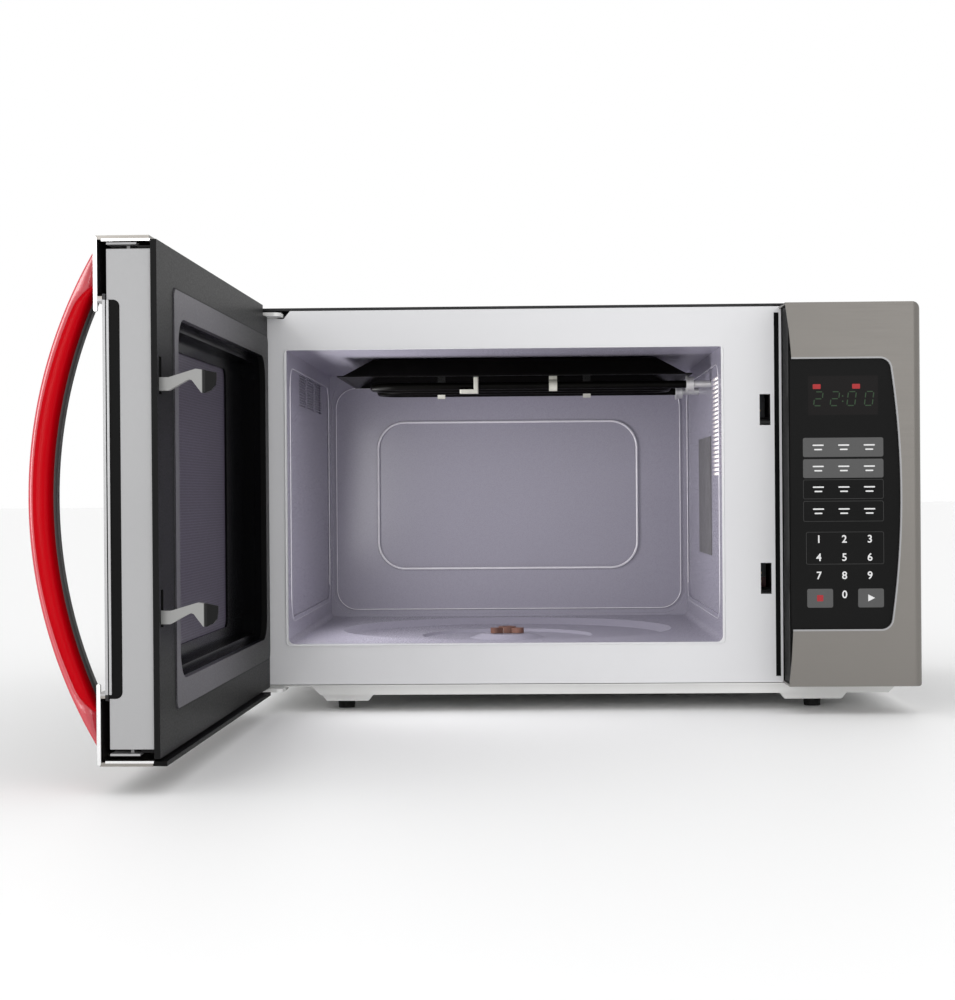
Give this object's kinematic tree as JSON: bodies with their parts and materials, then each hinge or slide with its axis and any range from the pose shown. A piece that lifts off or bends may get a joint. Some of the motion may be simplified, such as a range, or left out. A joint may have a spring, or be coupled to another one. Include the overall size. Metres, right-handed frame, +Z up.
{
  "type": "microwave oven",
  "caption": "Countertop microwave oven with a ceiling grill, a left-hinged door with a bow handle and latch hooks, and a keypad panel, stored with the door open.",
  "frame": {"origin": "on the worktop, below the middle of the whole footprint with the door open at its rest angle of 91.2 degrees; it lies close to the middle of the cavity mouth", "axes": "+X to the right as the user faces the oven, +Y from the user towards the back panel, +Z up"},
  "size_m": [0.6142, 0.8264, 0.3319],
  "materials": {
    "enamel_white": "gloss enamel",
    "cavity_enamel": "semi-gloss enamel",
    "case_black": "satin",
    "zinc_steel": "satin",
    "stainless": "satin",
    "bright_trim": "polished",
    "black_plastic": "fine texture",
    "keypad_black": "matt film",
    "window_glass": "dark tinted, gloss",
    "display_lens": "smoked",
    "red_gloss": "gloss",
    "handle_grey": "satin",
    "door_grey": "satin",
    "cover_dark": "semi-gloss",
    "frame_grey": "gloss",
    "liner_black": "gloss",
    "screen_metal": "perforated",
    "latch_grey": "moulded",
    "rubber_black": "matt",
    "mica_grey": "matt",
    "board_green": "solder mask",
    "part_plastic": "moulded",
    "part_red": "moulded",
    "plunger_tan": "moulded",
    "white_plastic": "moulded",
    "core_steel": "varnished laminations",
    "copper_winding": "enamelled wire",
    "aluminium_can": "satin",
    "heater_black": "oxidised",
    "ceramic_cream": "glazed",
    "coupling_brown": "moulded",
    "lamp_glass": "clear"
  },
  "bodies": {
    "oven": {"front_plate": "enamel_white", "cavity_liner": "cavity_enamel", "outer_case": "case_black", "base_plate": "zinc_steel", "back_panel": "case_black", "rubber_feet": "rubber_black", "upper_hinge_bracket": "zinc_steel", "lower_hinge_bracket": "zinc_steel", "control_fascia": "stainless", "control_housing": "black_plastic", "fascia_trim": "bright_trim", "membrane_keypad": "keypad_black", "display_window": "display_lens", "control_board": "board_green", "display_module": "white_plastic", "board_parts": "part_plastic", "interlock_bracket": "white_plastic", "primary_switch": "part_plastic", "secondary_switch": "part_plastic", "monitor_switch": "part_red", "magnetron": "aluminium_can", "waveguide": "zinc_steel", "waveguide_cover": "mica_grey", "hv_transformer_core": "core_steel", "hv_transformer_windings": "copper_winding", "hv_capacitor": "aluminium_can", "capacitor_clamp": "zinc_steel", "hv_diode": "part_plastic", "fan_shroud": "part_plastic", "fan_motor": "core_steel", "turntable_motor": "zinc_steel", "lamp_housing": "zinc_steel", "oven_lamp": "lamp_glass", "thermal_cutouts": "part_plastic", "mains_filter": "board_green", "grill_reflector": "heater_black", "grill_heater": "heater_black", "heater_clips": "ceramic_cream", "heater_terminals": "zinc_steel", "cord_bushing": "black_plastic", "case_screws": "zinc_steel"},
    "door": {"door_front_panel": "stainless", "door_window_glass": "window_glass", "door_glass_carrier": "black_plastic", "door_glass_trim": "bright_trim", "door_frame": "door_grey", "door_choke_cover": "cover_dark", "door_bottom_strip": "black_plastic", "door_inner_frame": "frame_grey", "door_recess_liner": "liner_black", "door_screen": "screen_metal", "handle_grip": "red_gloss", "handle_liner": "handle_grey", "latch_spring": "zinc_steel"},
    "latch": {"latch_bar": "latch_grey"},
    "primary_button": {"primary_plunger": "plunger_tan"},
    "secondary_button": {"secondary_plunger": "plunger_tan"},
    "monitor_button": {"monitor_plunger": "plunger_tan"},
    "turntable_drive": {"turntable_coupling": "coupling_brown"},
    "fan": {"fan_blade": "white_plastic"}
  },
  "joints": [
    {"name": "door_hinge", "type": "hinge", "parent": "oven", "child": "door", "pos_m": [-0.22545, 0.00691, 0.1755], "axis": [0, 0, -1], "range_deg": [-91.2, 12.8]},
    {"name": "latch_lift", "type": "slide", "parent": "door", "child": "latch", "axis": [0, 0, 1], "range_m": [0, 0.003], "stiffness_N_per_m": 250, "springref_m": -0.004, "deforming": ["latch_spring"]},
    {"name": "primary_switch_press", "type": "slide", "parent": "oven", "child": "primary_button", "axis": [0, 1, 0], "range_m": [0, 0.0015], "stiffness_N_per_m": 400, "springref_m": -0.001},
    {"name": "secondary_switch_press", "type": "slide", "parent": "oven", "child": "secondary_button", "axis": [0, 1, 0], "range_m": [0, 0.0015], "stiffness_N_per_m": 400, "springref_m": -0.001},
    {"name": "monitor_switch_press", "type": "slide", "parent": "oven", "child": "monitor_button", "axis": [0, 1, 0], "range_m": [0, 0.0015], "stiffness_N_per_m": 400, "springref_m": -0.001},
    {"name": "turntable_spin", "type": "hinge", "parent": "oven", "child": "turntable_drive", "pos_m": [-0.02505, 0.19371, 0.0505], "axis": [0, 0, 1], "continuous": true},
    {"name": "fan_spin", "type": "hinge", "parent": "oven", "child": "fan", "pos_m": [0.22995, 0.38671, 0.2105], "axis": [0, 1, 0], "continuous": true}
  ]
}
